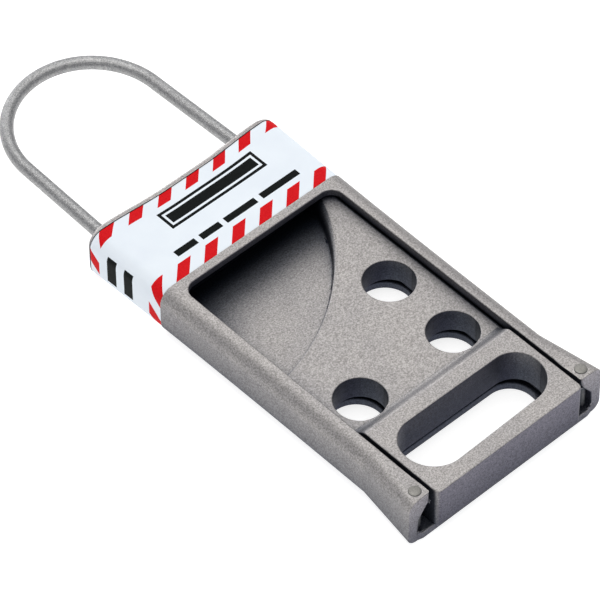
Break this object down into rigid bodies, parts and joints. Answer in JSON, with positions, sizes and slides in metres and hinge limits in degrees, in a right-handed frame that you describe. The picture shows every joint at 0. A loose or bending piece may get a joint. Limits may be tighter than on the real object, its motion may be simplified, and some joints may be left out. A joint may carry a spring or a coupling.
{
  "type": "lockout hasp",
  "caption": "Cast lockout hasp: a wire shackle lifts from the head, and a sliding plate with padlock holes and a slot pulls out between two lipped rails.",
  "frame": {"origin": "centre of the bounding box's base, on the plane of the hasp's back face", "axes": "+X across the hasp to its right rail as seen from the front with the shackle up, +Y along the hasp to the shackle, +Z out of the back towards the window"},
  "size_m": [0.06, 0.1632, 0.0143],
  "materials": {
    "cast_steel": "bead-blasted stainless casting",
    "wire_steel": "tumbled stainless wire and pin",
    "spring_steel": "smooth spring steel",
    "label_film": "printed vinyl film, white with red marks"
  },
  "bodies": {
    "body": {"body": "cast_steel", "stop_pin_left": "wire_steel", "stop_pin_right": "wire_steel", "shackle_retaining_pin": "spring_steel", "latch_spring": "spring_steel", "latch_spring_pin": "spring_steel", "label": "label_film"},
    "slide": {"slide": "cast_steel"},
    "shackle": {"shackle": "wire_steel"}
  },
  "joints": [
    {"name": "slide_travel", "type": "slide", "parent": "body", "child": "slide", "axis": [0, -1, 0], "range_m": [-0.0012, 0.0178]},
    {"name": "shackle_lift", "type": "slide", "parent": "body", "child": "shackle", "axis": [0, 1, 0], "range_m": [0, 0.012], "deforming": ["latch_spring"]}
  ]
}
